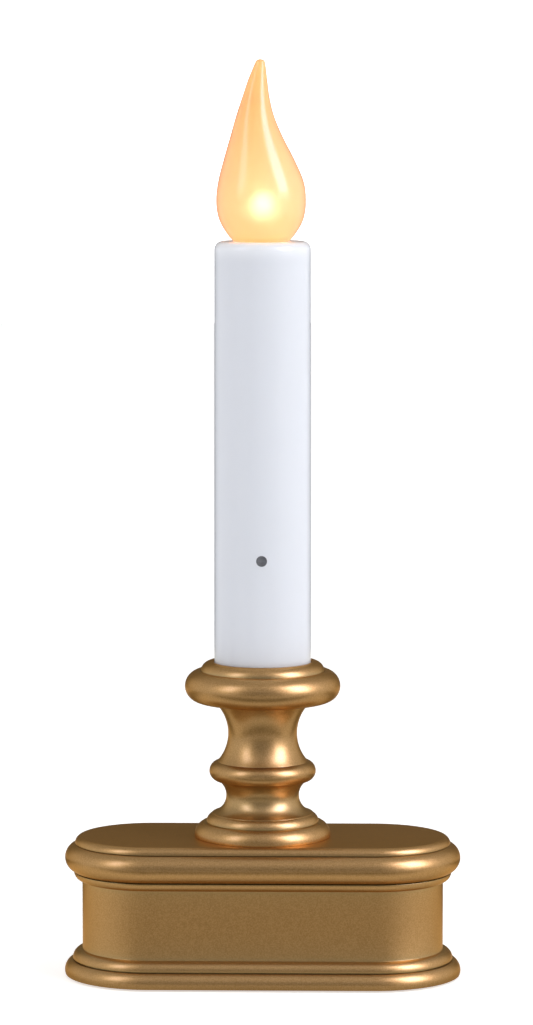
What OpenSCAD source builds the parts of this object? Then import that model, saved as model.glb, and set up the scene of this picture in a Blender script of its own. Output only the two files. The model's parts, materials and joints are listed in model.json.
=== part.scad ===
// Flameless window candle: an LED flame on a white tube that turns in a
// moulded, brass-finished holder over an obround battery base.
// Millimetres. +Z is up, -Y is the front and +X is the viewer's right.
// The origin is at the centre of the footprint, on the surface it stands on.

/* [Base] */
// Half of the straight run between the two round ends
base_straight = 27.8; // [27.4:0.1:34]
// Radius of the plain wall's round ends
wall_r = 17.4; // [17:0.1:19]
// Height of the flat top
base_h = 35.3; // [34:0.1:40]
// Thickness of the shell's wall
shell_wall = 1.4; // [1:0.1:1.4]
// Thickness of the shell's top
shell_top = 2.0; // [1.6:0.1:2.4]

/* [Stem] */
// Radius of the foot's thin lip
foot_r = 17.0; // [16:0.05:17.2]
// Radius of the lower waist
low_waist_r = 9.1; // [8.8:0.05:10]
// Radius of the ring between the waists
ring_r = 13.3; // [12.5:0.1:14.5]
// Radius of the upper waist
high_waist_r = 8.6; // [8.4:0.05:9.6]
// Radius of the collar
collar_r = 19.4; // [18.5:0.05:21]

/* [Tube] */
// Outer radius at the top of the candle tube
tube_r = 11.93; // [11.8:0.01:12.0]
// How much wider the tube's foot is, for the mould's draft
tube_draft = 0.11; // [0:0.01:0.15]
// Height of the tube's top above the surface
tube_top = 183.9; // [176:0.1:230]
// Thickness of the tube's wall
tube_wall = 1.18; // [0.9:0.02:1.3]
// Radius of the rounded top edge
tube_edge_r = 2.0; // [1:0.1:3]
// Height of the light sensor's window
sensor_z = 105.7; // [95:0.1:110]
// Radius of the light sensor's window
sensor_r = 1.35; // [1:0.05:2]

/* [Flame] */
// Height of the flame above the tube
flame_h = 44.7; // [40:0.1:50]
// Largest radius of the flame
flame_r = 11.08; // [10.6:0.02:12]
// Furthest that the flame leans to its left
flame_lean = 1.87; // [0:0.01:3]
// Thickness of the flame's wall
flame_wall = 1.3; // [1:0.1:1.6]

/* [Battery] */
// Radius of an AA cell
cell_r = 7.1; // [7:0.05:7.15]
// Length of an AA cell, button included
cell_len = 50.5; // [49.5:0.1:50.5]

/* [Hidden] */
$fn = 96;

// Finishes
brass = "#A08050";
white = "#E4E8F0";
black = "#26272A";
steel = "#B9BCC0";
board_green = "#2F6B45";

// Each round below is [distance of its centre from the middle line, height of its centre, radius]
pad_gap = 0.4;
rim = [wall_r + 1.36, 1.44, 3.1];
low_bead = [wall_r, 4.42, 2.46];
under_bead = [wall_r, base_h - 8.93, 2.08];
top_torus = [wall_r + 0.72, base_h - 5.34, 3.59];
edge_bead = [wall_r, base_h - 1.8, 1.8];
rim_top = 4.15;
low_groove_r = wall_r + 1.9;
edge_groove_r = wall_r + 1.33;
fillet_step = 0.25;
far = 30;

// Inside of the base
inner_r = wall_r - shell_wall;
ceiling = base_h - shell_top;
mouth_r = wall_r + 0.6;
plate_r = mouth_r - 0.2;
plate_z = 0.9;
plate_t = 2.0;
plate_top = plate_z + plate_t;

// Base screws, at mirrored places about both middle planes
screw_at = [base_straight + 11.1, 6.0];
boss_r = 2.6;
screw_r = 1.25;
screw_hole_r = 1.3;
head_r = 2.3;
head_t = 1.2;
screw_len = 9.0;
head_gap = 0.2;
pad_at = [base_straight + 5.6, 12.8];
pad_r = 2.8;
pad_seat = 0.3;
pad_fit = 0.1;

// Battery bay and its door
bay = [58.4, 29.3, 14.7];
bay_wall = 0.8;
bay_end = 1.2;
cell_y = 7.35;
cell_z = 10.2;
button_r = 2.75;
button_len = 1.2;
crimp = 0.5;
contact_t = 0.4;
contact_size = [9.0, 9.0];
tab_size = [2.8, 0.5];
tab_gap = [0.2, 0.15];
tab_rise = 1.75;
tab_out = 1.8;
spring_wire_r = 0.35;
spring_r = [3.6, 2.4];
door_gap = 0.25;
hinge_gap = 0.45;
door_t = 1.8;
hinge_x = -(bay[0] / 2 + 2.8);
hinge_z = 2.3;
barrel_r = 1.35;
pin_r = 0.6;
running = 0.05;
door_barrel = 11.2;
hinge_width = 18.0;
hinge_side = 0.3;
notch_back = 3.2;

// Slide switch
switch_x = 33.6;
switch_travel = 3.0;
switch_size = [9.0, 4.6, 3.8];
knob_neck = [1.8, 1.5];
knob_pad = [2.2, 3.4, 0.8];
slot_gap = 0.3;
slot = [switch_travel + knob_neck[0] + 2 * slot_gap, knob_neck[1] + 2 * slot_gap];
pocket = [7.4, 4.4, 1.0];

// Stem: rounds as above, about the stem's own axis
foot_round = [foot_r - 3.5, base_h + 0.4, 3.5];
foot_lip = 0.5;
foot_top = base_h + 3.58;
step_bead = [11.68, base_h + 3.6, 2.36];
step_top = step_bead[1] + step_bead[2];
low_cove = [low_waist_r + 4.46, base_h + 10.31, 4.46];
ring_bead = [ring_r - 2.49, base_h + 16.48, 2.49];
ring_foot = ring_bead[1] - ring_bead[2];
ring_top = ring_bead[1] + ring_bead[2];
high_cove = [high_waist_r + 10.67, base_h + 25.96, 10.67];
collar_round = [collar_r - 3.91, base_h + 37.88, 3.91];
collar_foot = collar_round[1] - collar_round[2];
collar_top = collar_round[1] + collar_round[2];
lip_bead = [12.95, collar_top - 0.31, 2.51];
stem_top = lip_bead[1] + lip_bead[2];
low_neck_r = low_cove[0] - sqrt(pow(low_cove[2], 2) - pow(low_cove[1] - step_top, 2));
high_neck_r = high_cove[0] - sqrt(pow(high_cove[2], 2) - pow(collar_foot - high_cove[1], 2));

// Swivel in the stem
cup_gap = 0.16;
tube_foot_r = tube_r + tube_draft;
cup_r = tube_foot_r + cup_gap;
cup_floor = base_h + 35.2;
web_foot = base_h + 23.6;
wire_well_r = 6.2;
spigot_r = 4.5;
spigot_foot = web_foot - 2.4;
plug_bore = 2.6;
plug_wall = 1.6;
plug_collar = 1.2;
plug_foot = cup_floor + 0.8;
tube_foot = plug_foot + 0.5;
plug_top = tube_foot + 5.0;
clip_t = 0.7;
clip_z = web_foot - 0.15 - clip_t;
clip_r = 5.7;
clip_seat_r = 3.9;
washer_t = 0.75;
washer_r = [5.2, 8.4];
stop_at = 10.2;
stop_r = 0.7;
stop_h = 0.65;
stem_screw_at = 9.6;
stem_screw_r = 1.4;
stem_screw_hole_r = 1.5;
stem_screw_len = 9.6;
stem_screw_turns = [90, 210, 330];
stem_head = [2.4, 1.6];
stem_hole_top = base_h + 6.6;

// Inside of the tube
bore_r = tube_r - tube_wall;
roof_t = 1.5;
roof_z = tube_top - roof_t;
tube_shoulder = tube_top - tube_edge_r;
flame_hole_r = 6.1;
board_y = -5.0;
board_t = 1.2;
board_w = 16.4;
board_z = [84.5, 149.5];
disc_r = bore_r - 0.15;
disc_t = 2.0;
disc_z = [86.0, 118.0, 146.0];
seat_z = tube_top - 9.1;
spine = [7.0, 2.2];
spine_y = 3.6;
led_board_t = 1.2;
led_board_z = seat_z + 3.0;
led_board_top = led_board_z + led_board_t;
led_r = 2.5;
led_foot = tube_top + 2.4;
led_flange = [2.9, 1.0];
led_h = 8.7;
led_leg = [1.27, 0.5];
spacer_r = 3.0;
spacer_bore_r = 1.9;
socket_r = 9.0;

// Flame: at each share of its height, the share of its largest radius and of its furthest lean
flame_outline = [
    [0.00, 0.62, 0.17], [0.03, 0.73, 0.17], [0.09, 0.885, 0.17], [0.15, 0.97, 0.19], [0.23, 1.00, 0.20],
    [0.33, 0.95, 0.22], [0.45, 0.785, 0.47], [0.58, 0.575, 0.82], [0.69, 0.42, 0.99], [0.79, 0.305, 0.89],
    [0.88, 0.22, 0.67], [0.94, 0.157, 0.465], [0.98, 0.108, 0.335], [1.00, 0.05, 0.31]
];
cavity_share = 0.72;
spigot_wall = 1.2;
spigot_drop = 3.6;

// Leads: points along each wire, from end to end
lead_r = 0.55;
lead_pair = 0.75;
lead_sides = 8;
lead_meet = base_h + 9.0;
sleeve_r = [1.75, 2.3];
sleeve_half = 4;
tube_lead = [[3.0, -5.0, 84.4], [3.0, -4.6, 81.5], [2.2, -2.2, 78.5], [1.1, -0.5, 76.0],
    [lead_pair, 0, 73.0], [lead_pair, 0, 60.0], [lead_pair, 0, lead_meet]];
switch_lead = [[lead_pair, 0, lead_meet], [lead_pair, 0, 34.0], [1.6, 0.4, 29.0], [5.0, 1.6, 25.5],
    [14.0, 2.4, 23.0], [25.0, 2.0, 22.0], [31.4, 1.0, 19.5], [33.4, 0.6, 14.0], [33.1, 0.6, 7.6]];
bay_lead = [[-lead_pair, 0, lead_meet], [-lead_pair, 0, 34.0], [-0.4, -1.2, 29.0], [4.0, -3.6, 25.5],
    [14.0, -5.4, 23.0], [25.0, -6.6, 22.0], [31.2, -7.2, 19.8], [32.4, -7.35, 16.0], [31.9, -7.35, 12.8]];
link_lead = [[37.1, 0.6, 7.6], [37.1, 1.4, 10.5], [35.8, 4.6, 13.5], [33.6, 7.0, 14.4], [31.9, 7.35, 12.8]];

// ---------------------------------------------------------------- shared shapes

// Half-width of a wall, from the middle line out to r, between two heights
module band(r, z0, z1) {
    translate([0, z0])
        square([r, z1 - z0]);
}

// Full round on a band
module bead(b) {
    translate([b[0], b[1]])
        circle(b[2]);
    band(b[0], b[1] - b[2], b[1] + b[2]);
}

// Quarter round that draws in upwards
module ovolo(b) {
    intersection() {
        translate([b[0], b[1]])
            circle(b[2]);
        translate([b[0], b[1]])
            square(b[2]);
    }
    band(b[0], b[1], b[1] + b[2]);
}

// Quarter round that draws in downwards
module under_ovolo(b) {
    intersection() {
        translate([b[0], b[1]])
            circle(b[2]);
        translate([b[0], b[1] - b[2]])
            square(b[2]);
    }
    band(b[0], b[1] - b[2], b[1]);
}

// Sweeps a half outline round an obround with a straight half-length
module obround(straight) {
    for (side = [-1, 1])
        translate([side * straight, 0, 0])
            rotate([0, 0, -90 * side])
                rotate_extrude(angle = 180)
                    children();
    translate([-straight, 0, 0])
        rotate([90, 0, 90])
            linear_extrude(2 * straight) {
                children();
                mirror([1, 0])
                    children();
            }
}

// Box centred in X and Y, standing on height z
module block(size, z) {
    translate([-size[0] / 2, -size[1] / 2, z])
        cube(size);
}

// Upright cylinder between two heights
module post(r, z0, z1) {
    translate([0, 0, z0])
        cylinder(r = r, h = z1 - z0);
}

// Upright ring between two heights
module ring(outer, inner, z0, z1) {
    translate([0, 0, z0])
        difference() {
            cylinder(r = outer, h = z1 - z0);
            translate([0, 0, -1])
                cylinder(r = inner, h = z1 - z0 + 2);
        }
}

// Places its children at the four mirrored corners of a point
module four(p) {
    for (sx = [-1, 1], sy = [-1, 1])
        translate([sx * p[0], sy * p[1], 0])
            children();
}

// Points of a smooth curve through a list of points
function along(p, steps) = [
    for (i = [0:len(p) - 2], k = [0:steps - 1])
        let (a = p[max(i - 1, 0)], b = p[i], c = p[i + 1], d = p[min(i + 2, len(p) - 1)], t = k / steps)
            0.5 * (2 * b + (c - a) * t + (2 * a - 5 * b + 4 * c - d) * t * t
                + (3 * b - a - 3 * c + d) * t * t * t),
    p[len(p) - 1]
];
function unit(v) = v / norm(v);

// Solid through rings of equal point counts, closed at both ends
module loft(rings) {
    n = len(rings[0]);
    m = len(rings);
    polyhedron(
        points = [for (r = rings, p = r) p],
        faces = concat(
            [[for (k = [0:n - 1]) k]],
            [for (i = [0:m - 2], k = [0:n - 1])
                [i * n + k, (i + 1) * n + k, (i + 1) * n + (k + 1) % n, i * n + (k + 1) % n]],
            [[for (k = [n - 1:-1:0]) (m - 1) * n + k]]
        ),
        convexity = 6
    );
}

// Round wire along a path that never runs along Y
module wire(path, r, sides) {
    last = len(path) - 1;
    loft([for (i = [0:last])
        let (t = unit(path[min(i + 1, last)] - path[max(i - 1, 0)]),
            u = unit(cross([0, 1, 0], t)), v = cross(t, u))
            [for (k = [0:sides - 1])
                path[i] + r * (cos(360 * k / sides) * u - sin(360 * k / sides) * v)]]);
}

// ---------------------------------------------------------------- base

module base_outline() {
    band(wall_r, pad_gap, base_h);
    intersection() {
        bead(rim);
        band(far, pad_gap, rim_top);
    }
    band(low_groove_r, pad_gap, low_bead[1]);
    ovolo(low_bead);
    under_ovolo(under_bead);
    band(top_torus[0], under_bead[1], top_torus[1]);
    bead(top_torus);
    band(edge_groove_r, top_torus[1], edge_bead[1]);
    ovolo(edge_bead);
}

module base_shell() {
    color(brass) {
        difference() {
            obround(base_straight)
                base_outline();
            obround(base_straight)
                band(inner_r, -1, ceiling);
            obround(base_straight)
                band(mouth_r, -1, plate_top);
            post(wire_well_r, ceiling - 1, base_h + 1);
            for (turn = stem_screw_turns)
                rotate([0, 0, turn])
                    translate([stem_screw_at, 0, 0])
                        post(stem_screw_hole_r, ceiling - 1, base_h + 1);
        }
        four(screw_at)
            ring(boss_r, screw_hole_r, plate_top + 0.05, ceiling);
    }
}

module base_plate() {
    color(black)
        difference() {
            union() {
                obround(base_straight)
                    band(plate_r, plate_z, plate_top);
                block([bay[0] + 2 * bay_end, bay[1] + 2 * bay_wall, bay[2] + bay_end], plate_top);
            }
            block([bay[0], bay[1], bay[2] + plate_t + 1], plate_z - 1);
            four(screw_at) {
                post(screw_hole_r, 0, plate_top + 1);
                post(head_r + head_gap, 0, plate_z + head_t);
            }
            four(pad_at)
                post(pad_r + pad_fit, 0, plate_z + pad_seat);
            hinge_notch();
            translate([switch_x + switch_travel / 2, 0, 0]) {
                block([pocket[0], pocket[1], pocket[2] + 1], plate_z - 1);
                block([slot[0], slot[1], plate_t + 2], 0);
            }
            contact_slots();
        }
    color(black)
        for (side = [-1, 1])
            hinge_knuckle(side);
}

// Opening in the plate for the door's hinge
module hinge_notch() {
    translate([hinge_x - notch_back, -hinge_width / 2 - hinge_side, 0])
        cube([notch_back - hinge_x - bay[0] / 2, hinge_width + 2 * hinge_side, plate_top]);
}

// Fixed knuckle, joined to the plate behind the hinge
module hinge_knuckle(side) {
    inner = door_barrel / 2 + hinge_side;
    width = hinge_width / 2 - inner;
    difference() {
        translate([hinge_x, side * (inner + width / 2), 0]) {
            translate([0, width / 2, hinge_z])
                rotate([90, 0, 0])
                    cylinder(r = barrel_r, h = width);
            translate([-notch_back - 0.5, -width / 2, plate_z])
                cube([notch_back + 0.5, width, plate_t - 0.2]);
        }
        hinge_bore(pin_r);
    }
}

module hinge_bore(r) {
    translate([hinge_x, far, hinge_z])
        rotate([90, 0, 0])
            cylinder(r = r, h = 2 * far);
}

// Slots in the bay's end walls for the contacts' solder tabs
module contact_slots() {
    for (y = [-cell_y, cell_y])
        translate([bay[0] / 2 + bay_end / 2, y, 0])
            block([bay_end + 2, tab_size[0] + 2 * tab_gap[0], tab_size[1] + 2 * tab_gap[1]],
                cell_z + tab_rise - tab_size[1] / 2 - tab_gap[1]);
}

module base_screws() {
    color(steel)
        four(screw_at)
            cross_screw(plate_z + 0.1, head_t - 0.15, head_r, screw_r, screw_len);
}

// Countersunk-depth pan screw, head down, with a cross recess
module cross_screw(z, head, r, shank_r, length) {
    difference() {
        union() {
            post(r, z, z + head);
            post(shank_r, z + head, z + length);
        }
        for (turn = [0, 90])
            rotate([0, 0, turn])
                block([r * 1.1, 0.6, 1.6], z - 1);
    }
}

module foot_pads() {
    color("#3A3A3C")
        four(pad_at)
            post(pad_r, 0, plate_z + pad_seat);
}

module battery_door() {
    length = bay[0] - door_gap - hinge_gap;
    width = bay[1] - 2 * door_gap;
    latch_end = bay[0] / 2 - door_gap;
    strap = -bay[0] / 2 - hinge_x + hinge_gap + 1;
    rib = [0.7, 14, 0.4];
    rib_pitch = 1.6;
    latch_slit = [8, 0.6];
    latch_half = 4.4;
    color(black)
        difference() {
            union() {
                translate([latch_end - length / 2, 0, 0])
                    block([length, width, door_t], plate_z);
                translate([hinge_x, -door_barrel / 2, plate_z])
                    cube([strap, door_barrel, door_t]);
                translate([hinge_x, door_barrel / 2, hinge_z])
                    rotate([90, 0, 0])
                        cylinder(r = barrel_r, h = door_barrel);
            }
            hinge_bore(pin_r + running);
            for (n = [-2:2])
                translate([latch_end - 7 + n * rib_pitch, 0, 0])
                    block([rib[0], rib[1], 1 + rib[2]], plate_z - 1);
            for (side = [-1, 1])
                translate([latch_end + 0.5 - latch_slit[0] / 2, side * latch_half, 0])
                    block([latch_slit[0] + 1, latch_slit[1], door_t + 2], plate_z - 1);
        }
}

module door_hinge_pin() {
    color(steel)
        translate([hinge_x, hinge_width / 2, hinge_z])
            rotate([90, 0, 0])
                cylinder(r = pin_r, h = hinge_width);
}

// ---------------------------------------------------------------- cells and contacts

// Cell along X, its button towards +X
module aa_cell() {
    body_len = cell_len - button_len;
    translate([-cell_len / 2, 0, 0])
        rotate([0, 90, 0])
            rotate_extrude() {
                square([cell_r - crimp, body_len]);
                translate([0, crimp])
                    square([cell_r, body_len - 2 * crimp]);
                square([button_r, cell_len]);
            }
}

// End of the bay where a cell's button touches its contact
function button_face() = bay[0] / 2 - contact_t - 0.05;

module aa_cell_1() {
    color("#C8A24A")
        translate([button_face() - cell_len / 2, cell_y, cell_z])
            aa_cell();
}

module aa_cell_2() {
    color("#C8A24A")
        translate([-button_face() + cell_len / 2, -cell_y, cell_z])
            mirror([1, 0, 0])
                aa_cell();
}

// Contact leaf on the bay's +X end wall, with a solder tab through the wall
module end_contact(y) {
    color(steel) {
        translate([bay[0] / 2 - contact_t, y - contact_size[0] / 2, cell_z - contact_size[1] / 2])
            cube([contact_t, contact_size[0], contact_size[1]]);
        translate([bay[0] / 2 - contact_t, y - tab_size[0] / 2, cell_z + tab_rise - tab_size[1] / 2])
            cube([contact_t + bay_end + tab_out, tab_size[0], tab_size[1]]);
    }
}

module positive_contact() {
    end_contact(cell_y);
}

module negative_contact() {
    end_contact(-cell_y);
}

module bridge_contact() {
    color(steel)
        translate([-bay[0] / 2, -cell_y - contact_size[0] / 2, cell_z - contact_size[1] / 2])
            cube([contact_t, 2 * cell_y + contact_size[0], contact_size[1]]);
}

// Conical coil from the end wall to the flat of the cell
module contact_springs() {
    turns = 4;
    steps = 12;
    gap = 0.05;
    first = spring_wire_r + gap;
    length = bay[0] - contact_t - cell_len - contact_t - 2 * gap;
    coil = [for (i = [0:turns * steps])
        let (share = i / (turns * steps), r = spring_r[0] + (spring_r[1] - spring_r[0]) * share)
            [first + (length - 2 * first) * share, r * sin(360 * i / steps), r * cos(360 * i / steps)]];
    color(steel)
        for (side = [-1, 1])
            translate([side * (bay[0] / 2 - contact_t), -side * cell_y, cell_z])
                rotate([0, 0, side > 0 ? 180 : 0])
                    coil_wire(coil, spring_wire_r, 6);
}

// Round wire along a coil about X
module coil_wire(path, r, sides) {
    last = len(path) - 1;
    loft([for (i = [0:last])
        let (t = unit(path[min(i + 1, last)] - path[max(i - 1, 0)]),
            u = unit([0, path[i][1], path[i][2]]), v = cross(t, u))
            [for (k = [0:sides - 1])
                path[i] + r * (cos(360 * k / sides) * u - sin(360 * k / sides) * v)]]);
}

// ---------------------------------------------------------------- switch

module switch_housing() {
    color(steel)
        translate([switch_x + switch_travel / 2, 0, 0]) {
            difference() {
                block(switch_size, plate_top);
                block([slot[0], slot[1], 1.4], plate_top - 0.1);
            }
            for (step = [-1, 1])
                translate([step * 2.0, 0.6, 0])
                    block([0.6, 0.4, 0.9], plate_top + switch_size[2] - 0.1);
        }
}

module switch_knob() {
    color(black)
        translate([switch_x, 0, 0]) {
            difference() {
                block(knob_pad, plate_z + 0.05);
                for (groove = [-1, 1])
                    translate([groove * 0.55, 0, 0])
                        block([0.3, 4, 0.3], plate_z);
            }
            block([knob_neck[0], knob_neck[1], 2.0], plate_z + 0.05 + knob_pad[2]);
        }
}

module switch_leads() {
    color("#B23A2E") {
        wire(along(switch_lead, 3), lead_r, lead_sides);
        wire(along(link_lead, 3), lead_r, lead_sides);
    }
    color("#2B2B2E")
        wire(along(bay_lead, 3), lead_r, lead_sides);
}

// ---------------------------------------------------------------- stem

module stem_outline() {
    band(foot_r, base_h, base_h + foot_lip);
    intersection() {
        bead(foot_round);
        band(far, base_h, foot_top);
    }
    band(foot_round[0], base_h, foot_top);
    band(step_bead[0] + step_bead[2] - fillet_step, foot_top - 0.5, step_bead[1]);
    ovolo(step_bead);
    difference() {
        band(low_neck_r, step_top - 0.1, ring_foot + 0.1);
        translate([low_cove[0], low_cove[1]])
            circle(low_cove[2]);
    }
    bead(ring_bead);
    difference() {
        band(high_neck_r, ring_top - 0.1, collar_foot + 0.1);
        translate([high_cove[0], high_cove[1]])
            circle(high_cove[2]);
    }
    bead(collar_round);
    ovolo(lip_bead);
}

module stem() {
    color(brass) {
        difference() {
            rotate_extrude()
                stem_outline();
            post(cup_r, cup_floor, stem_top + 1);
            post(spigot_r + running, web_foot - 1, cup_floor + 1);
            post(wire_well_r, base_h - 1, web_foot);
            for (turn = stem_screw_turns)
                rotate([0, 0, turn])
                    translate([stem_screw_at, 0, 0])
                        post(stem_screw_hole_r, base_h - 1, stem_hole_top);
        }
        translate([0, stop_at, 0])
            post(stop_r, cup_floor - 0.5, cup_floor + stop_h);
    }
}

module stem_screws() {
    color(steel)
        for (turn = stem_screw_turns)
            rotate([0, 0, turn])
                translate([stem_screw_at, 0, 0])
                    cross_screw(ceiling - stem_head[1], stem_head[1], stem_head[0],
                        stem_screw_r, stem_screw_len);
}

// Pressed spring washer that keeps the tube where it is turned to
module friction_washer() {
    color(steel)
        ring(washer_r[1], washer_r[0], cup_floor, cup_floor + washer_t);
}

module lead_sleeve() {
    color("#303033")
        ring(sleeve_r[1], sleeve_r[0], lead_meet - sleeve_half, lead_meet + sleeve_half);
}

// ---------------------------------------------------------------- candle

module candle_tube() {
    color(white)
        difference() {
            rotate_extrude() {
                polygon([[0, tube_foot], [tube_foot_r, tube_foot], [tube_r, tube_shoulder],
                    [0, tube_shoulder]]);
                ovolo([tube_r - tube_edge_r, tube_shoulder, tube_edge_r]);
            }
            post(bore_r, tube_foot - 1, roof_z);
            post(flame_hole_r, roof_z - 1, tube_top + 1);
            translate([0, 0, sensor_z])
                rotate([90, 0, 0])
                    cylinder(r = sensor_r, h = far);
        }
}

// Plug in the tube's foot, with the hollow spigot that turns in the stem
module swivel_plug() {
    lug = [2.4, 2.0];
    color(black)
        difference() {
            union() {
                post(tube_r - 0.1, plug_foot, tube_foot - 0.02);
                post(bore_r - 0.02, plug_foot, plug_top);
                post(spigot_r, spigot_foot, plug_foot + 1);
                translate([0, -stop_at, 0])
                    block([lug[0], lug[1], stop_h + 0.3], plug_foot - stop_h);
            }
            post(plug_bore, spigot_foot - 1, plug_top + 1);
            post(bore_r - plug_wall, plug_foot + plug_wall, plug_top + 1);
            ring(spigot_r + 1, clip_seat_r, clip_z - 0.05, clip_z + clip_t + 0.05);
        }
    color(black)
        ring(plug_bore + plug_collar, plug_bore, plug_foot + 1, plug_top - 1);
}

module swivel_clip() {
    mouth = 5.2;
    color(steel)
        difference() {
            ring(clip_r, clip_seat_r + 0.02, clip_z, clip_z + clip_t);
            translate([0, clip_r, 0])
                block([mouth, 2 * clip_r, 4], clip_z - 1);
        }
}

// Frame that holds the boards: three slotted discs and a seat on one spine
module board_carrier() {
    lead_hole_r = 2.0;
    front_slot = [9, 5.4];
    top_slot = [4.0, 6];
    color("#D8DADF")
        difference() {
            union() {
                for (z = disc_z)
                    post(disc_r, z, z + disc_t);
                post(disc_r, seat_z, led_board_z - 0.02);
                translate([0, spine_y, 0])
                    block([spine[0], spine[1], seat_z - disc_z[0]], disc_z[0]);
            }
            translate([0, board_y, 0])
                block([board_w + 0.2, board_t + 0.1, board_z[1] - board_z[0] + 0.2], board_z[0] - 0.1);
            post(lead_hole_r, disc_z[0] - 1, led_board_z + 1);
            translate([0, board_y - 3.4, 0])
                block([front_slot[0], front_slot[1], board_z[1] - board_z[0]], board_z[0]);
            translate([0, -7, 0])
                block([top_slot[0], top_slot[1], 20], seat_z - 5);
        }
}

module control_board() {
    color(board_green)
        translate([0, board_y, 0])
            block([board_w, board_t, board_z[1] - board_z[0]], board_z[0]);
}

// Back and front faces of the control board
board_back = board_y + board_t / 2;
board_front = board_y - board_t / 2;

// Box on the back of the control board
module on_back(x, z, size) {
    translate([x - size[0] / 2, board_back, z - size[2] / 2])
        cube(size);
}

// Eight-legged chip
module control_chip() {
    chip_z = 128;
    leg_pitch = 1.27;
    color("#1C1D20") {
        on_back(0, chip_z, [4.0, 1.6, 5.2]);
        for (side = [-1, 1], row = [-1.5:1:1.5])
            on_back(side * 2.5, chip_z + row * leg_pitch, [1.2, 0.4, 0.5]);
    }
}

// Five small flat parts and two round capacitors, each capacitor as [x, z, radius, height]
module board_parts() {
    flat_at = [[-5, 96], [5, 96], [-5, 124], [5, 132], [-5, 138]];
    flat_size = [2.0, 0.7, 1.2];
    capacitors = [[0, 94, 2.4, 5.0], [4.6, 140.5, 1.6, 4.2]];
    color("#C9B48A") {
        for (at = flat_at)
            on_back(at[0], at[1], flat_size);
        for (can = capacitors)
            translate([can[0], board_back, can[1]])
                rotate([-90, 0, 0])
                    cylinder(r = can[2], h = can[3]);
    }
}

// Light cell that looks out through the window, on two legs from the control board
module light_sensor() {
    sensor_face = -(bore_r - 2.0);
    body = [2.4, 1.8];
    leg_r = 0.25;
    leg_foot = sensor_face + body[1] - 0.1;
    color("#B4593A") {
        translate([0, sensor_face, sensor_z])
            rotate([-90, 0, 0])
                cylinder(r = body[0], h = body[1]);
        for (side = [-1, 1])
            translate([side * 1.3, leg_foot, sensor_z])
                rotate([-90, 0, 0])
                    cylinder(r = leg_r, h = board_front - leg_foot);
    }
}

// Round lens with a flange that rests on the inside of the tube
module sensor_window() {
    window_face = -tube_r + 0.25;
    flange = [2.4, 0.5];
    color("#45464A") {
        translate([0, window_face, sensor_z])
            rotate([-90, 0, 0])
                cylinder(r = sensor_r - 0.02, h = 1.6);
        intersection() {
            translate([0, -(bore_r - 0.45), sensor_z])
                rotate([-90, 0, 0])
                    cylinder(r = flange[0], h = flange[1]);
            post(bore_r - 0.02, sensor_z - 4, sensor_z + 4);
        }
    }
}

module tube_leads() {
    color("#B23A2E")
        wire(along(tube_lead, 3), lead_r, lead_sides);
    color("#2B2B2E")
        mirror([1, 0, 0])
            wire(along(tube_lead, 3), lead_r, lead_sides);
}

// ---------------------------------------------------------------- light

module led_board() {
    color(board_green)
        post(disc_r - 0.4, led_board_z, led_board_top);
}

module led_spacer() {
    color(white)
        ring(spacer_r, spacer_bore_r, led_board_top, led_foot);
}

module led() {
    color("#F4E3B8") {
        rotate_extrude() {
            band(led_flange[0], led_foot, led_foot + led_flange[1]);
            band(led_r, led_foot, led_foot + led_h - led_r);
            intersection() {
                translate([0, led_foot + led_h - led_r])
                    circle(led_r);
                band(led_r, led_foot, led_foot + led_h);
            }
        }
        for (side = [-1, 1])
            translate([side * led_leg[0], 0, 0])
                block([led_leg[1], led_leg[1], led_foot - led_board_top + 0.1], led_board_top);
    }
}

// Ring under the tube's roof that grips the flame's spigot
module flame_socket() {
    color(white)
        ring(socket_r, flame_hole_r, led_board_top, roof_z);
}

// Rings of the flame from its foot up: [height, radius, lean], drawn in by a wall's thickness
function flame_rings(inset) = [
    for (p = along(flame_outline, 2))
        [tube_top + flame_h * p[0], flame_r * p[1] - inset, -flame_lean * p[2]]
];

// Closed bulb over a spigot: down the inside from the cavity's top, then up the outside
module flame_bulb() {
    sides = 36;
    cavity_top = tube_top + flame_h * cavity_share;
    inside = [for (q = flame_rings(flame_wall)) if (q[0] <= cavity_top) q];
    spigot_out = flame_hole_r - 0.1;
    spigot_in = spigot_out - spigot_wall;
    rings = concat(
        [for (i = [len(inside) - 1:-1:0]) inside[i]],
        [[tube_top, spigot_in, 0], [tube_top - spigot_drop, spigot_in, 0]],
        [[tube_top - spigot_drop, spigot_out, 0], [tube_top, spigot_out, 0]],
        flame_rings(0)
    );
    color("#FFD28C")
        loft([for (q = rings)
            [for (k = [0:sides - 1])
                [q[2] - q[1] * cos(360 * k / sides), q[1] * sin(360 * k / sides), q[0]]]]);
}

base_shell();
base_plate();
base_screws();
foot_pads();
battery_door();
door_hinge_pin();
aa_cell_1();
aa_cell_2();
positive_contact();
negative_contact();
bridge_contact();
contact_springs();
switch_housing();
switch_knob();
switch_leads();
stem();
stem_screws();
friction_washer();
lead_sleeve();
candle_tube();
swivel_plug();
swivel_clip();
board_carrier();
control_board();
control_chip();
board_parts();
light_sensor();
sensor_window();
tube_leads();
led_board();
led_spacer();
led();
flame_socket();
flame_bulb();
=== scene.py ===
"""Looks of the flameless window candle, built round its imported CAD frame.

Metres throughout. +Z is up, -Y is the front and the origin is under the middle of the base.
The visible shells are made again here as fine smooth meshes. Everything else keeps its CAD
mesh and takes a material.
"""

import json
import math

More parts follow.
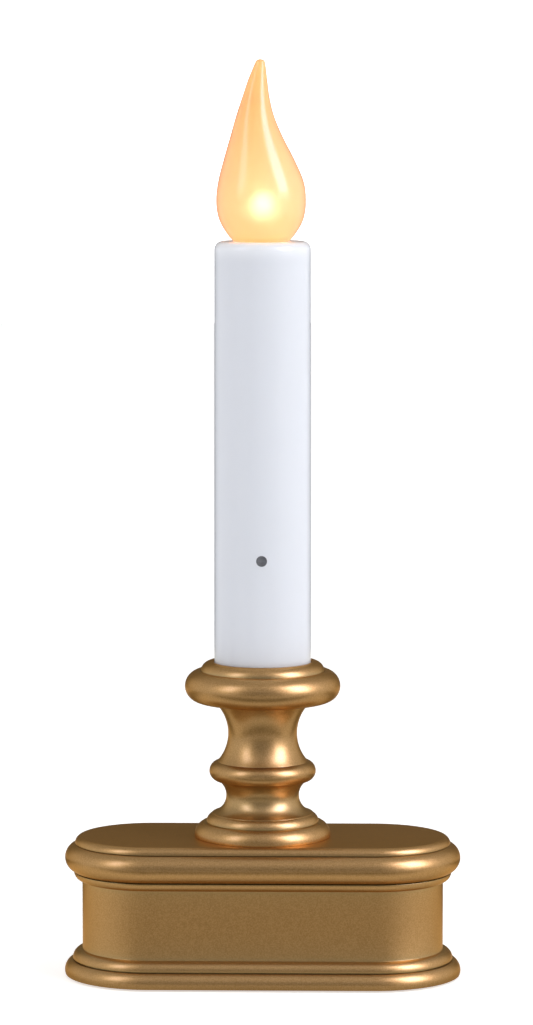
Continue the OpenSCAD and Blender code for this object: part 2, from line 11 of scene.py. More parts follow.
import bmesh
import bpy
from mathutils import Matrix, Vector


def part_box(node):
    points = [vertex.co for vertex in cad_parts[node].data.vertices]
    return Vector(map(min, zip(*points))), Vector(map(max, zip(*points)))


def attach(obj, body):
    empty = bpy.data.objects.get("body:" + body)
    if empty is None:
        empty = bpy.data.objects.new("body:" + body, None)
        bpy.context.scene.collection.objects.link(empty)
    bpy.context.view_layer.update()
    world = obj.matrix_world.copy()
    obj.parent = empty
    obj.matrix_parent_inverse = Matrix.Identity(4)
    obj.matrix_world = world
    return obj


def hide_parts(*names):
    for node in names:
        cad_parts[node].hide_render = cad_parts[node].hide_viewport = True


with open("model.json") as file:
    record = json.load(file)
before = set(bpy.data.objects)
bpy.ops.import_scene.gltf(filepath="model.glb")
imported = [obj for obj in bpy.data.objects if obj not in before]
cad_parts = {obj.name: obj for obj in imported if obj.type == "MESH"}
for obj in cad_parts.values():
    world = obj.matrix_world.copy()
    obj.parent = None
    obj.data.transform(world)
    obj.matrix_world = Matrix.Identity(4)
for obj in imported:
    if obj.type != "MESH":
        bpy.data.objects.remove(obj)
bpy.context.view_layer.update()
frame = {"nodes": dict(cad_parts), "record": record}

MM = 0.001


# ------------------------------------------------------------------ places from the frame

shell_lo, shell_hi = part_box("base_shell")
stem_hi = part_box("stem")[1]
tube_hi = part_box("candle_tube")[1]
flame_lo, flame_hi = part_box("flame_bulb")
led_lo, led_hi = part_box("led")

BASE_TOP = shell_hi.z
BASE_FOOT = shell_lo.z
RIM_R = shell_hi.y
STRAIGHT = shell_hi.x - RIM_R
TUBE_R = tube_hi.x
TUBE_TOP = tube_hi.z
COLLAR_R = stem_hi.x
STEM_TOP = stem_hi.z
FLAME_TOP = flame_hi.z
FLAME_R = (flame_hi.x - flame_lo.x) / 2


# ------------------------------------------------------------------ node helpers


class Nodes:
    """A node tree, with short names for what the looks below need."""

    def __init__(self, tree):
        self.tree = tree

    def node(self, kind, **settings):
        made = self.tree.nodes.new(kind)
        for key, value in settings.items():
            setattr(made, key, value)
        return made

    def link(self, out, into):
        self.tree.links.new(out, into)

    def fill(self, socket, value):
        """Gives a socket a number, a colour, or an output to follow."""
        if isinstance(value, tuple):
            socket.default_value = (*value, 1.0)
        elif isinstance(value, float):
            socket.default_value = value
        else:
            self.link(value, socket)

    def calc(self, operation, *values):
        """Result of one operation on numbers and outputs."""
        made = self.node("ShaderNodeMath", operation=operation)
        for socket, value in zip(made.inputs, values):
            self.fill(socket, value)
        return made.outputs[0]

    def remap(self, value, low, high, to_low, to_high, **settings):
        """An output that goes from to_low to to_high while value goes from low to high."""
        made = self.node("ShaderNodeMapRange", **settings)
        self.link(value, made.inputs["Value"])
        for key, number in zip(("From Min", "From Max", "To Min", "To Max"), (low, high, to_low, to_high)):
            self.fill(made.inputs[key], number)
        return made.outputs["Result"]

    def axes(self, vector):
        """The X, Y and Z of a vector."""
        split = self.node("ShaderNodeSeparateXYZ")
        self.link(vector, split.inputs["Vector"])
        return [split.outputs[axis] for axis in "XYZ"]


class Surface(Nodes):
    """A material's node tree, round one Principled shader."""

    def __init__(self, name):
        self.material = bpy.data.materials.new(name)
        self.material.use_nodes = True
        super().__init__(self.material.node_tree)
        self.shader = self.tree.nodes["Principled BSDF"]
        self.output = self.tree.nodes["Material Output"]
        self.coords = self.node("ShaderNodeTexCoord").outputs["Object"]

    def set(self, **values):
        for key, value in values.items():
            self.fill(self.shader.inputs[key.replace("_", " ")], value)

    def to(self, name, output):
        self.link(output, self.shader.inputs[name])

    def stretched(self, x=1.0, y=1.0, z=1.0):
        """Object coordinates, scaled differently along each axis."""
        mapping = self.node("ShaderNodeMapping")
        mapping.inputs["Scale"].default_value = (x, y, z)
        self.link(self.coords, mapping.inputs["Vector"])
        return mapping.outputs["Vector"]

    def noise(self, size, detail=3.0, rough=0.5, vector=None):
        """Noise whose features are about size metres across."""
        tex = self.node("ShaderNodeTexNoise")
        tex.inputs["Scale"].default_value = 1.0 / size
        tex.inputs["Detail"].default_value = detail
        tex.inputs["Roughness"].default_value = rough
        self.link(vector or self.coords, tex.inputs["Vector"])
        return tex.outputs["Fac"]

    def spread(self, noise, to_low=0.0, to_high=1.0):
        """A noise, which mostly lies near its middle, spread over a range."""
        return self.remap(noise, 0.3, 0.7, to_low, to_high)

    def cells(self, size):
        """Distance to the nearest of scattered points about size metres apart."""
        tex = self.node("ShaderNodeTexVoronoi")
        tex.inputs["Scale"].default_value = 1.0 / size
        self.link(self.coords, tex.inputs["Vector"])
        return tex.outputs["Distance"]

    def mix(self, share, first, second):
        """Colour between first and second, each a colour or an output."""
        made = self.node("ShaderNodeMix", data_type="RGBA")
        for socket, value in ((0, share), (6, first), (7, second)):
            self.fill(made.inputs[socket], value)
        return made.outputs[2]

    def bump(self, height, depth, strength, onto=None):
        """Bump of depth metres from a height output, laid onto another if there is one."""
        made = self.node("ShaderNodeBump")
        made.inputs["Distance"].default_value = depth
        made.inputs["Strength"].default_value = strength
        self.link(height, made.inputs["Height"])
        if onto is not None:
            self.link(onto, made.inputs["Normal"])
        return made.outputs["Normal"]


# ------------------------------------------------------------------ finishes


def brass_paint():
    """Satin antique-brass lacquer: fine metallic grain and faint patches, with painted shade that dulls the
    colour inside corners.
    """
    s = Surface("brass_paint")
    s.set(Metallic=1.0, Coat_Weight=0.11, Coat_Roughness=0.2, Coat_IOR=2.8)
    s.set(Specular_Tint=(1.0, 0.68, 0.37))
    patches = s.spread(s.noise(14 * MM, 4.0, 0.55))
    grain = s.noise(0.32 * MM, 2.0, 0.6)
    tone = s.mix(patches, (0.465, 0.268, 0.090), (0.49, 0.284, 0.098))
    speck = s.mix(s.remap(grain, 0.35, 0.65, 0.0, 1.0), (0.37, 0.204, 0.066), (0.55, 0.330, 0.132))
    # Painted shade: ambient occlusion gives corners and creases a duller, less orange colour.
    crease_occlusion = s.node("ShaderNodeAmbientOcclusion", samples=6, only_local=True)
    crease_occlusion.inputs["Distance"].default_value = 8 * MM
    unshaded_share = s.remap(crease_occlusion.outputs["AO"], 0.45, 0.95, 0.0, 1.0)
    painted_corner_shade, speck_share = (0.41, 0.335, 0.165), 0.6
    s.to("Base Color", s.mix(unshaded_share, painted_corner_shade, s.mix(speck_share, tone, speck)))
    s.to("Roughness", s.spread(grain, 0.34, 0.42))
    s.to("Normal", s.bump(grain, 0.02 * MM, 0.45, s.bump(s.noise(1.1 * MM, 2.0), 0.03 * MM, 0.15)))
    return s.material


def tube_white():
    """Glossy white moulded plastic with fine orange peel, and a painted glow near its top in place of the
    lamp's light.
    """
    s = Surface("tube_white")
    s.set(Roughness=0.16, IOR=1.49, Subsurface_Weight=0.12, Subsurface_Scale=0.002, Coat_Weight=0.15)
    s.shader.inputs["Subsurface Radius"].default_value = (1.0, 0.9, 0.8)
    flow = s.noise(20 * MM, 3.0, 0.5, s.stretched(1.0, 1.0, 0.25))
    s.to("Base Color", s.mix(s.spread(flow), (0.652, 0.675, 0.735), (0.668, 0.690, 0.752)))
    s.to("Roughness", s.spread(s.noise(6 * MM), 0.13, 0.19))
    s.to("Normal", s.bump(s.noise(1.6 * MM, 2.0), 0.02 * MM, 0.08))
    # Painted glow: emission that rises towards the tube's top, standing in for the lamp's light on it.
    s.set(Emission_Color=(1.0, 0.98, 0.92))
    height = s.axes(s.coords)[2]
    painted_glow_share = s.remap(height, TUBE_TOP - 5.5 * MM, TUBE_TOP - 0.5 * MM, 0.0, 1.0)
    s.to("Emission Strength", s.remap(s.calc("POWER", painted_glow_share, 2.0), 0.0, 1.0, 0.0, 0.20))
    return s.material


def moulded_plastic(name, colour, rough=0.5, texture=0.35 * MM, depth=0.02 * MM):
    """Moulded plastic with an even spark-eroded texture."""
    s = Surface(name)
    lighter = tuple(min(1.0, c * 1.18 + 0.003) for c in colour)
    grain = s.noise(texture, 3.0, 0.6)
    s.to("Base Color", s.mix(s.remap(grain, 0.35, 0.65, 0.0, 1.0), colour, lighter))
    s.to("Roughness", s.spread(s.noise(texture * 8), rough - 0.05, rough + 0.06))
    s.to("Normal", s.bump(grain, depth, 0.5))
    return s.material


def drawn_metal(name, colour, rough=0.28, stretch=(1.0, 1.0, 0.04)):
    """Plated or drawn metal with fine streaks along the axis whose stretch is small."""
    s = Surface(name)
    s.set(Metallic=1.0)
    streaks = s.noise(0.25 * MM, 3.0, 0.6, s.stretched(*stretch))
    darker = tuple(c * 0.8 for c in colour)
    s.to("Base Color", s.mix(s.spread(streaks), darker, colour))
    s.to("Roughness", s.spread(streaks, rough - 0.06, rough + 0.08))
    s.to("Normal", s.bump(streaks, 0.01 * MM, 0.25))
    return s.material


def soft_rubber(name, colour):
    """Matt rubber with a pebbled skin."""
    s = Surface(name)
    s.set(Specular_IOR_Level=0.35)
    pebbles = s.cells(0.4 * MM)
    lighter = tuple(c * 1.5 + 0.004 for c in colour)
    s.to("Base Color", s.mix(s.remap(pebbles, 0.1, 0.7, 0.0, 1.0), lighter, colour))
    s.to("Roughness", s.spread(s.noise(2 * MM), 0.62, 0.78))
    s.to("Normal", s.bump(pebbles, 0.03 * MM, 0.4))
    return s.material


def circuit_board():
    """Green solder mask over faint copper tracks."""
    s = Surface("circuit_board")
    s.set(Coat_Weight=0.4, Coat_Roughness=0.15, IOR=1.5)
    brick = s.node("ShaderNodeTexBrick")
    brick.inputs["Scale"].default_value = 260.0
    brick.inputs["Mortar Size"].default_value = 0.12
    brick.inputs["Color1"].default_value = (0.012, 0.10, 0.035, 1.0)
    brick.inputs["Color2"].default_value = (0.02, 0.13, 0.045, 1.0)
    brick.inputs["Mortar"].default_value = (0.05, 0.24, 0.09, 1.0)
    s.link(s.coords, brick.inputs["Vector"])
    s.to("Base Color", brick.outputs["Color"])
    s.to("Roughness", s.spread(s.noise(1 * MM), 0.28, 0.4))
    s.to("Normal", s.bump(brick.outputs["Fac"], 0.03 * MM, 0.3))
    return s.material


def cell_jacket():
    """Printed foil jacket: black along the cell, with a copper-coloured band at its button end."""
    s = Surface("cell_jacket")
    s.set(Metallic=0.8, Coat_Weight=0.6, Coat_Roughness=0.1)
    x, y, _ = s.axes(s.coords)
    to_button = s.calc("MULTIPLY", x, s.calc("SIGN", y))
    band_start, can_start, edge = 14.8 * MM, 26.8 * MM, 0.2 * MM
    band = s.remap(to_button, band_start, band_start + edge, 0.0, 1.0)
    can = s.remap(to_button, can_start, can_start + edge, 0.0, 1.0)
    jacket = s.mix(band, (0.012, 0.012, 0.014), (0.42, 0.19, 0.07))
    s.to("Base Color", s.mix(can, jacket, (0.55, 0.54, 0.52)))
    s.to("Roughness", s.spread(s.noise(3 * MM), 0.22, 0.36))
    s.to("Normal", s.bump(s.noise(1.2 * MM, 2.0), 0.02 * MM, 0.15))
    return s.material


def lead_insulation(name, colour):
    """Soft glossy PVC sleeve of a wire."""
    s = Surface(name)
    s.set(Specular_IOR_Level=0.5)
    flow = s.noise(0.6 * MM, 2.0)
    s.to("Base Color", s.mix(s.spread(flow), colour, tuple(c * 0.8 for c in colour)))
    s.to("Roughness", s.spread(flow, 0.34, 0.46))
    s.to("Normal", s.bump(flow, 0.02 * MM, 0.2))
    return s.material


def smoked_window():
    """Dark polished lens over the light sensor."""
    s = Surface("window_smoke")
    s.set(Roughness=0.18, IOR=1.5, Coat_Weight=0.5)
    cloud = s.noise(1.2 * MM, 3.0)
    s.to("Base Color", s.mix(s.spread(cloud), (0.095, 0.096, 0.108), (0.155, 0.157, 0.175)))
    s.to("Normal", s.bump(s.noise(0.5 * MM), 0.02 * MM, 0.2))
    return s.material


def glow_around(s, centre, reach, falloff):
    """Output that is 1 at a point and falls to 0 over reach metres."""
    away = s.node("ShaderNodeVectorMath", operation="DISTANCE")
    s.link(s.coords, away.inputs[0])
    away.inputs[1].default_value = centre
    return s.calc("POWER", s.remap(away.outputs["Value"], 0.0, reach, 1.0, 0.0), falloff)


def flame_amber(glow_centre):
    """Clouded amber plastic, deeper where more of it is looked through, with the LED's light painted in as a
    paler colour and glow round it, and a painted glow at its foot.
    """
    s = Surface("flame_amber")
    s.set(Roughness=0.55, IOR=1.40, Transmission_Weight=0.6, Coat_Weight=0.7, Coat_Roughness=0.03)
    glow = glow_around(s, glow_centre, 34 * MM, 1.6)
    cloud = s.spread(s.noise(6 * MM, 3.0), 0.94, 1.0)
    # Painted light: the colour turns paler near the LED, and the glow round it is emitted.
    s.to("Base Color", s.mix(glow, (1.0, 0.665, 0.28), (1.0, 0.75, 0.55)))
    # Painted glow at the foot, which lifts the shade that the tube casts there.
    painted_foot_glow = s.remap(s.axes(s.coords)[2], TUBE_TOP - 1 * MM, TUBE_TOP + 5 * MM, 0.19, 0.0)
    s.to("Emission Color", s.mix(glow, (1.0, 0.43, 0.09), (1.0, 0.58, 0.26)))
    s.to("Emission Strength", s.calc("MULTIPLY_ADD", s.remap(glow, 0.0, 1.0, 0.08, 0.22), cloud, painted_foot_glow))
    s.to("Normal", s.bump(s.noise(4 * MM, 2.0), 0.08 * MM, 0.15))
    depth = s.node("ShaderNodeVolumeAbsorption")
    depth.inputs["Color"].default_value = (0.975, 0.69, 0.17, 1.0)
    depth.inputs["Density"].default_value = 200.0
    s.link(depth.outputs["Volume"], s.output.inputs["Volume"])
    return s.material


def led_epoxy():
    """The lit LED's diffused epoxy, brightest at its dome."""
    s = Surface("led_epoxy")
    s.set(Roughness=0.3)
    dome_foot = led_lo.z + 0.6 * (led_hi.z - led_lo.z)
    rise = s.remap(s.axes(s.coords)[2], dome_foot, led_hi.z, 0.0, 1.0)
    cloud = s.noise(1 * MM, 2.0)
    s.to("Base Color", s.mix(s.spread(cloud), (0.9, 0.75, 0.5), (0.95, 0.82, 0.6)))
    s.to("Emission Color", s.mix(rise, (0.9, 0.7, 0.7), (0.85, 0.85, 1.0)))
    s.to("Emission Strength", s.remap(rise, 0.0, 1.0, 0.0, 15.0))
    return s.material


BLACK = (0.016, 0.016, 0.018)
finish = {
    "brass_paint": brass_paint(),
    "tube_white": tube_white(),
    "black_plastic": moulded_plastic("black_plastic", BLACK, 0.55),
    "knob_plastic": moulded_plastic("knob_plastic", (0.45, 0.45, 0.46), 0.45),
    "carrier_plastic": moulded_plastic("carrier_plastic", (0.55, 0.56, 0.58), 0.5),
    "socket_white": moulded_plastic("socket_white", (0.74, 0.75, 0.77), 0.42),
    "chip_black": moulded_plastic("chip_black", (0.012, 0.012, 0.013), 0.6, 0.2 * MM),
    "part_body": moulded_plastic("part_body", (0.45, 0.33, 0.16), 0.4, 0.2 * MM),
    "sensor_body": moulded_plastic("sensor_body", (0.45, 0.12, 0.05), 0.3, 0.3 * MM),
    "steel": drawn_metal("steel", (0.56, 0.57, 0.58)),
    "spring_steel": drawn_metal("spring_steel", (0.50, 0.50, 0.52), 0.22),
    "nickel_contact": drawn_metal("nickel_contact", (0.68, 0.65, 0.6), 0.2, (1.0, 0.05, 1.0)),
    "lead_insulation": lead_insulation("lead_insulation", (0.33, 0.03, 0.02)),
    "sleeve_rubber": soft_rubber("sleeve_rubber", (0.025, 0.025, 0.027)),
    "foot_rubber": soft_rubber("foot_rubber", (0.03, 0.03, 0.032)),
    "cell_jacket": cell_jacket(),
    "circuit_board": circuit_board(),
    "window_smoke": smoked_window(),
    "led_epoxy": led_epoxy(),
}

slots = {row["node"]: row["material_slot"] for row in frame["record"]["subparts"]}
for name, node in frame["nodes"].items():
    chosen = finish.get(slots[name])
    if chosen is not None:
        node.data.materials.clear()
        node.data.materials.append(chosen)


# ------------------------------------------------------------------ mesh helpers


def arc(bead, start, end, steps):
    """Points round a bead, (distance, height, radius), from one angle to another in degrees."""
    cx, cz, r = bead
    out = []
    for i in range(steps + 1):
        a = math.radians(start + (end - start) * i / steps)
        out.append((cx + r * math.cos(a), cz + r * math.sin(a)))
    return out


SHARP = math.radians(20)


def eased(outline, radius, steps=3):
    """The outline with its sharp corners rounded to a small radius."""
    out = [outline[0]]
    for before, here, after in zip(outline, outline[1:], outline[2:]):
        a, p, b = (Vector(q) for q in (before, here, after))
        u, v = a - p, b - p
        turn = math.pi - u.angle(v, math.pi)
        if turn < SHARP:
            out.append(here)
            continue
        cut = min(radius, 0.45 * u.length, 0.45 * v.length)
        first, last = p + u.normalized() * cut, p + v.normalized() * cut
        for i in range(steps + 1):
            t = i / steps
            q = first * (1 - t) ** 2 + p * 2 * t * (1 - t) + last * t ** 2
            out.append((q.x, q.y))
    out.append(outline[-1])
    return out


def circle(bm, r, z, steps, x=0.0):
    """Ring of new vertices about the Z axis, or about a line at x beside it."""
    turn = 2 * math.pi / steps
    return [bm.verts.new((x + r * math.cos(turn * k), r * math.sin(turn * k), z)) for k in range(steps)]


def object_from(name, bm, material, closed=True):
    """Smooth object made from a bmesh, with clean outward normals if it is closed."""
    bmesh.ops.remove_doubles(bm, verts=bm.verts, dist=1e-7)
    if closed:
        bmesh.ops.recalc_face_normals(bm, faces=bm.faces)
    mesh = bpy.data.meshes.new(name)
    bm.to_mesh(mesh)
    bm.free()
    mesh.polygons.foreach_set("use_smooth", [True] * len(mesh.polygons))
    mesh.materials.append(material)
    made = bpy.data.objects.new(name, mesh)
    bpy.context.scene.collection.objects.link(made)
    return made


def turned(name, outline, material, steps=192):
    """Solid of revolution about the Z axis of a closed outline of (radius, height)."""
    bm = bmesh.new()
    rings = [circle(bm, r, z, steps) for r, z in outline]
    for low, high in zip(rings, rings[1:] + rings[:1]):
        for k in range(steps):
            bm.faces.new((low[k], low[(k + 1) % steps], high[(k + 1) % steps], high[k]))
    return object_from(name, bm, material)


def obround_ring(r, straight, arc_steps, run_steps):
    """Points round an obround at a distance r from its middle line, mirrored in both axes."""
    points = []
    for side in (1, -1):
        for i in range(arc_steps + 1):
            a = math.radians(-90 + 180 * i / arc_steps)
            points.append((side * (straight + r * math.cos(a)), side * r * math.sin(a)))
        for i in range(1, run_steps):
            points.append((side * straight * (1 - 2 * i / run_steps), side * r))
    return points


def obround_shell(name, outline, straight, material, arc_steps=72, run_steps=24):
    """Closed shell swept round an obround, from one flat cap to another."""
    bm = bmesh.new()
    rings = [
        [bm.verts.new((x, y, z)) for x, y in obround_ring(r, straight, arc_steps, run_steps)]
        for r, z in outline
    ]
    count = len(rings[0])
    for low, high in zip(rings, rings[1:]):
        for k in range(count):
            bm.faces.new((low[k], low[(k + 1) % count], high[(k + 1) % count], high[k]))
    for ring in (rings[0], rings[-1]):
        across(bm, ring, arc_steps)
    return object_from(name, bm, material)


def across(bm, ring, arc_steps):
    """Flat cap of strips between the ring's points that mirror each other across the X axis."""
    count = len(ring)
    half = arc_steps // 2
    top = [ring[(half + i) % count] for i in range(count // 2 + 1)]
    bottom = [ring[(half - i) % count] for i in range(count // 2 + 1)]
    for i in range(count // 2):
        corners = []
        for v in (top[i], top[i + 1], bottom[i + 1], bottom[i]):
            if v not in corners:
                corners.append(v)
        bm.faces.new(corners)


def scaled(outline):
    """An outline in millimetres, in metres."""
    return [(r * MM, z * MM) for r, z in outline]


# ------------------------------------------------------------------ brass base shell

# Outlines are in millimetres, as in the CAD. A bead is its middle's distance out and height, and its
# radius. Its arc goes from angle to angle, in degrees, and ends where it meets the next.
RIM_OUT, RIM_ROUND, RIM_TOP = 1.36, 3.1, 4.15
wall = RIM_R / MM - RIM_OUT - RIM_ROUND
top, foot = BASE_TOP / MM, BASE_FOOT / MM
INSIDE, CEILING, MOUTH, SEAT = wall - 1.4, top - 2.0, wall + 0.6, 2.9
RIM = wall + RIM_OUT, 1.44, RIM_ROUND
LOW_GROOVE = wall + 1.9
LOW_BEAD = wall, 4.42, 2.46
UNDER_BEAD = wall, top - 8.93, 2.08
TORUS = wall + 0.72, top - 5.34, 3.59
EDGE_GROOVE, EDGE_ROUND = wall + 1.33, 1.8
EDGE_BEAD = wall, top - EDGE_ROUND, EDGE_ROUND
SHELL_EASE = 0.12
base_outline = (
    [(INSIDE, CEILING), (INSIDE, SEAT), (MOUTH, SEAT), (MOUTH, foot)]
    + arc(RIM, -19.6, 60.9, 22)
    + [(LOW_GROOVE, RIM_TOP), (LOW_GROOVE, LOW_BEAD[1])]
    + arc(LOW_BEAD, 0, 90, 16)
    + arc(UNDER_BEAD, -90, 0, 14)
    + [(TORUS[0], UNDER_BEAD[1])]
    + arc(TORUS, -90, 79.9, 34)
    + [(EDGE_GROOVE, EDGE_BEAD[1])]
    + arc(EDGE_BEAD, 0, 90, 14)
)
base_piece = obround_shell(
    "base_shell_moulded", eased(scaled(base_outline), SHELL_EASE * MM), STRAIGHT, finish["brass_paint"]
)
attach(base_piece, "base")
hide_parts("base_shell")


# ------------------------------------------------------------------ brass stem

WELL_R, SPIGOT_BORE, CUP_R = 6.2, 4.55, TUBE_R / MM + 0.16
CUP_FLOOR, WEB_FOOT = top + 35.2, top + 23.6
FOOT_R, FOOT_LIP = 17.0, 0.5
FOOT_ROUND = 13.5, top + 0.4, 3.5
FOOT_GROOVE = 13.79, top + 3.58
STEP_BEAD = 11.68, top + 3.6, 2.36
LOW_WAIST = 13.56, top + 10.31, 4.46
RING = 10.81, top + 16.48, 2.49
WAIST = 19.28, top + 25.96, 10.67
COLLAR_ROUND = 3.91
COLLAR = COLLAR_R / MM - COLLAR_ROUND, top + 37.88, COLLAR_ROUND
LIP = 12.95, top + 41.48, 2.51
STEM_EASE = 0.1
stem_outline = (
    [(WELL_R, top), (FOOT_R, top), (FOOT_R, top + FOOT_LIP)]
    + arc(FOOT_ROUND, 2, 65.3, 22)
    + [FOOT_GROOVE]
    + arc(STEP_BEAD, 0, 69.5, 14)
    + arc(LOW_WAIST, 257.5, 124.4, 30)
    + arc(RING, -84.7, 80.5, 26)
    + arc(WAIST, 220.9, 131.4, 40)
    + arc(COLLAR, -90, 90, 36)
    + arc(LIP, 0, 90, 16)
    + [(CUP_R, STEM_TOP / MM), (CUP_R, CUP_FLOOR), (SPIGOT_BORE, CUP_FLOOR)]
    + [(SPIGOT_BORE, WEB_FOOT), (WELL_R, WEB_FOOT), (WELL_R, top)]
)
stem_piece = turned("stem_turned", eased(scaled(stem_outline), STEM_EASE * MM)[:-1], finish["brass_paint"])
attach(stem_piece, "base")
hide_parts("stem")


# ------------------------------------------------------------------ flame

# Share of the flame's height, share of its radius, and share of its lean.
FLAME_OUTLINE = [
    (0.00, 0.62, 0.17), (0.03, 0.73, 0.17), (0.09, 0.885, 0.17), (0.15, 0.97, 0.19), (0.23, 1.00, 0.20),
    (0.33, 0.95, 0.22), (0.45, 0.785, 0.47), (0.58, 0.575, 0.82), (0.69, 0.42, 0.99), (0.79, 0.305, 0.89),
    (0.88, 0.22, 0.67), (0.94, 0.157, 0.465), (0.98, 0.108, 0.335), (1.00, 0.05, 0.31),
]
FLAME_LEAN = 1.87 * MM
FLAME_WALL = 1.3 * MM
SPIGOT_OUT, SPIGOT_IN = 6.0 * MM, 4.8 * MM
CAVITY_SHARE = 0.72
FLAME_STEPS, CAP_STEPS = 8, 6


def along(points, steps):
    """Smooth curve through tuples of numbers, the same as the CAD's."""
    out = []
    for i in range(len(points) - 1):
        a, b, c = points[max(i - 1, 0)], points[i], points[i + 1]
        d = points[min(i + 2, len(points) - 1)]
        for k in range(steps):
            t = k / steps
            out.append(
                tuple(
                    0.5 * (2 * q + (r - p) * t + (2 * p - 5 * q + 4 * r - s) * t * t
                           + (3 * q - p - 3 * r + s) * t ** 3)
                    for p, q, r, s in zip(a, b, c, d)
                )
            )
    out.append(points[-1])
    return out


def flame_rings(inset):
    """(height, radius, lean) up the flame, drawn in by a wall's thickness."""
    height = FLAME_TOP - TUBE_TOP
    return [
        (TUBE_TOP + height * z, FLAME_R * r - inset, -FLAME_LEAN * lean)
        for z, r, lean in along(FLAME_OUTLINE, FLAME_STEPS)
    ]


def cap_rings(foot_z, rise, r, lean):
    """(height, radius, lean) of a dome's rings from its foot up, short of its very top."""
    angles = [math.radians(90 * i / (CAP_STEPS + 0.5)) for i in range(1, CAP_STEPS + 1)]
    return [(foot_z + rise * math.sin(a), r * math.cos(a), lean) for a in angles]


def flame_bulb(material, sides=96):
    """The bulb's outer skin, its cavity and its spigot as one closed wall."""
    outer = flame_rings(0.0)
    z_tip, _, lean_tip = outer[-1]
    outer = outer[:-FLAME_STEPS]
    z_near, r_near, _ = outer[-1]
    outer += cap_rings(z_near, z_tip - z_near, r_near, lean_tip)
    cavity_limit = TUBE_TOP + (FLAME_TOP - TUBE_TOP) * CAVITY_SHARE
    inside = [ring for ring in flame_rings(FLAME_WALL) if ring[0] <= cavity_limit]
    z_roof, r_roof, lean_roof = inside[-1]
    inside += cap_rings(z_roof, r_roof, r_roof, lean_roof)
    spigot_foot = flame_lo.z
    rings = (
        inside[::-1]
        + [(TUBE_TOP, SPIGOT_IN, 0), (spigot_foot, SPIGOT_IN, 0)]
        + [(spigot_foot, SPIGOT_OUT, 0), (TUBE_TOP, SPIGOT_OUT, 0)]
        + outer
    )
    bm = bmesh.new()
    made = [circle(bm, r, z, sides, lean) for z, r, lean in rings]
    for low, high in zip(made, made[1:]):
        for k in range(sides):
            bm.faces.new((low[k], low[(k + 1) % sides], high[(k + 1) % sides], high[k]))
    for ring in (made[0], made[-1]):
        centre = bm.verts.new(sum((v.co for v in ring), Vector()) / sides)
        for k in range(sides):
            bm.faces.new((ring[k], ring[(k + 1) % sides], centre))
    return object_from("flame", bm, material)


GLOW_CENTRE = (led_lo.x + led_hi.x) / 2, (led_lo.y + led_hi.y) / 2, led_hi.z - 1.5 * MM
flame_piece = flame_bulb(flame_amber(GLOW_CENTRE))
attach(flame_piece, "candle")
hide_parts("flame_bulb")


# ------------------------------------------------------------------ stage


def paper(name, glow):
    """White studio paper that glows a little. It is clear from behind, so the underside can be looked at."""
    s = Surface(name)
    fibres = s.spread(s.noise(80 * MM, 4.0))
    s.set(Roughness=0.9, Specular_IOR_Level=0.2, Emission_Color=(1.0, 1.0, 1.0), Emission_Strength=glow)
    s.to("Base Color", s.mix(fibres, (0.86, 0.86, 0.86), (0.88, 0.88, 0.88)))
    clear = s.node("ShaderNodeBsdfTransparent")
    either = s.node("ShaderNodeMixShader")
    s.link(s.node("ShaderNodeNewGeometry").outputs["Backfacing"], either.inputs["Fac"])
    s.link(s.shader.outputs["BSDF"], either.inputs[1])
    s.link(clear.outputs["BSDF"], either.inputs[2])
    s.link(either.outputs["Shader"], s.output.inputs["Surface"])
    return s.material


def disc(name, radius, height, material, steps=96):
    """Flat round sheet that faces up."""
    bm = bmesh.new()
    bm.faces.new(circle(bm, radius, height, steps))
    return object_from(name, bm, material, closed=False)


def surround(name, radius, height, material, steps=64):
    """Open upright cylinder round the whole set, facing in."""
    bm = bmesh.new()
    low, high = circle(bm, radius, -1 * MM, steps), circle(bm, radius, height, steps)
    for k in range(steps):
        bm.faces.new((high[k], high[(k + 1) % steps], low[(k + 1) % steps], low[k]))
    return object_from(name, bm, material, closed=False)


def painted_table_reflection():
    """Painted reflection of the table in the brass: painted shadow right at the foot, a painted pool of
    light round it, dim before and behind it, then paler.
    """
    s = Surface("painted_table_sheen")
    s.set(Base_Color=(0.0, 0.0, 0.0), Roughness=1.0, Specular_IOR_Level=0.0)
    ahead = s.calc("ABSOLUTE", s.axes(s.coords)[1])
    away = s.node("ShaderNodeVectorMath", operation="LENGTH")
    s.link(s.stretched(0.5, 1.0, 1.0), away.inputs[0])
    # Painted shadow close round the foot, then a painted pool of light that fades ahead and behind.
    painted_foot_shadow = s.remap(away.outputs["Value"], 22 * MM, 45 * MM, 0.44, 0.88)
    painted_light_pool = s.remap(ahead, 55 * MM, 100 * MM, 1.0, 0.08)
    beyond = s.remap(ahead, 140 * MM, 240 * MM, 0.0, 0.75)
    s.set(Emission_Color=(1.0, 0.93, 0.78))
    s.to("Emission Strength", s.calc("MULTIPLY_ADD", painted_foot_shadow, painted_light_pool, beyond))
    return s.material


STAGE_R, STAGE_HIGH, REFLECTION_DISC_R = 2.6, 3.0, 0.6
# This disc is seen only in reflections. It paints a lit table into the brass.
painted_reflection_disc = disc("painted_reflection_disc", REFLECTION_DISC_R, 0.0, painted_table_reflection())
for ray in ("camera", "diffuse", "shadow", "transmission"):
    setattr(painted_reflection_disc, "visible_" + ray, False)
floor = disc("floor", STAGE_R, -0.1 * MM, paper("floor_paper", 0.55))
floor.visible_glossy = False
backdrop = surround("backdrop", STAGE_R, STAGE_HIGH, paper("backdrop_paper", 1.0))
for ray in ("glossy", "diffuse", "shadow"):
    setattr(backdrop, "visible_" + ray, False)


# ------------------------------------------------------------------ light

AIM = Vector((0, 0, 0.05))
WHITE = (1.0, 1.0, 1.0)


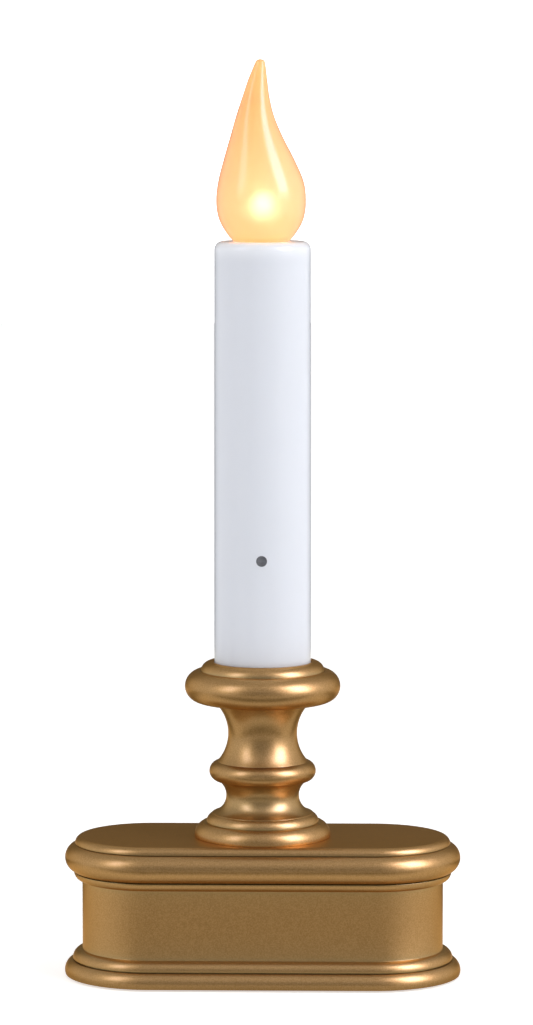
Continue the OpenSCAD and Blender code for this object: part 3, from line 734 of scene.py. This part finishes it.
def soft_box(name, azimuth, elevation, distance, size, radiance, colour=WHITE):
    """Soft box of a given brightness that faces the object. Azimuth 0 is the front, 90 is +X."""
    a, e = math.radians(azimuth), math.radians(elevation)
    outward = Vector((math.sin(a) * math.cos(e), -math.cos(a) * math.cos(e), math.sin(e)))
    data = bpy.data.lights.new(name, "AREA")
    data.shape = "RECTANGLE"
    data.size, data.size_y = size
    data.energy = radiance * size[0] * size[1] * math.pi
    data.color = colour
    made = bpy.data.objects.new(name, data)
    made.location = AIM + distance * outward
    made.rotation_euler = (-outward).to_track_quat("-Z", "Y").to_euler()
    bpy.context.scene.collection.objects.link(made)
    return made


soft_box("left_key", -54, 35, 0.9, (0.34, 0.62), 1.8)
soft_box("right_key", 62, 34, 0.9, (0.56, 0.78), 2.8)
# Smaller, bluer boxes just in front of those add to the highlights and to nothing matt.
for glint in (
    soft_box("left_glint", -54, 36, 0.88, (0.20, 0.40), 1.4, (0.84, 0.86, 1.5)),
    soft_box("right_glint", 62, 35, 0.88, (0.36, 0.54), 5.5, (0.80, 0.80, 1.4)),
):
    glint.visible_diffuse = False


def room_light():
    """Room round the set: bright side walls, a dim front and back, and an even ceiling."""
    world = bpy.data.worlds.new("studio")
    world.use_nodes = True
    n = Nodes(world.node_tree)

    def smooth(value, *numbers):
        return n.remap(value, *numbers, interpolation_type="SMOOTHSTEP")

    x, y, z = n.axes(n.node("ShaderNodeTexCoord").outputs["Generated"])
    level = n.calc("SQRT", n.calc("ADD", n.calc("MULTIPLY", x, x), n.calc("MULTIPLY", y, y)))
    level = n.calc("MAXIMUM", level, 0.001)
    aside = n.calc("DIVIDE", n.calc("ABSOLUTE", x), level)
    ahead = n.calc("DIVIDE", y, level)
    dim = smooth(ahead, -0.3, 0.3, 0.25, 0.11)
    walls = smooth(aside, 0.42, 0.82, dim, 0.85)
    background = n.tree.nodes["Background"]
    n.fill(background.inputs["Color"], WHITE)
    n.link(smooth(z, 0.25, 0.75, walls, 0.52), background.inputs["Strength"])
    return world


bpy.context.scene.world = room_light()
bpy.context.scene.view_settings.view_transform = "Standard"


# ------------------------------------------------------------------ camera

CAMERA_FAR = 1.1
CAMERA_HIGH = 0.233
CAMERA_AZIMUTH = math.radians(1.2)
CAMERA_PITCH = math.radians(6.043)
CAMERA_LENS = 156.4
CAMERA_SHIFT = 0.0038
SENSOR_WIDTH = 36.0

camera_data = bpy.data.cameras.new("camera")
camera_data.sensor_width = SENSOR_WIDTH
camera_data.sensor_fit = "AUTO"
camera_data.lens = CAMERA_LENS
camera_data.shift_x = CAMERA_SHIFT
camera = bpy.data.objects.new("camera", camera_data)
bpy.context.scene.collection.objects.link(camera)
bpy.context.scene.camera = camera
camera.location = (
    CAMERA_FAR * math.sin(CAMERA_AZIMUTH),
    -CAMERA_FAR * math.cos(CAMERA_AZIMUTH),
    CAMERA_HIGH,
)
camera.rotation_euler = (math.pi / 2 - CAMERA_PITCH, 0.0, CAMERA_AZIMUTH)
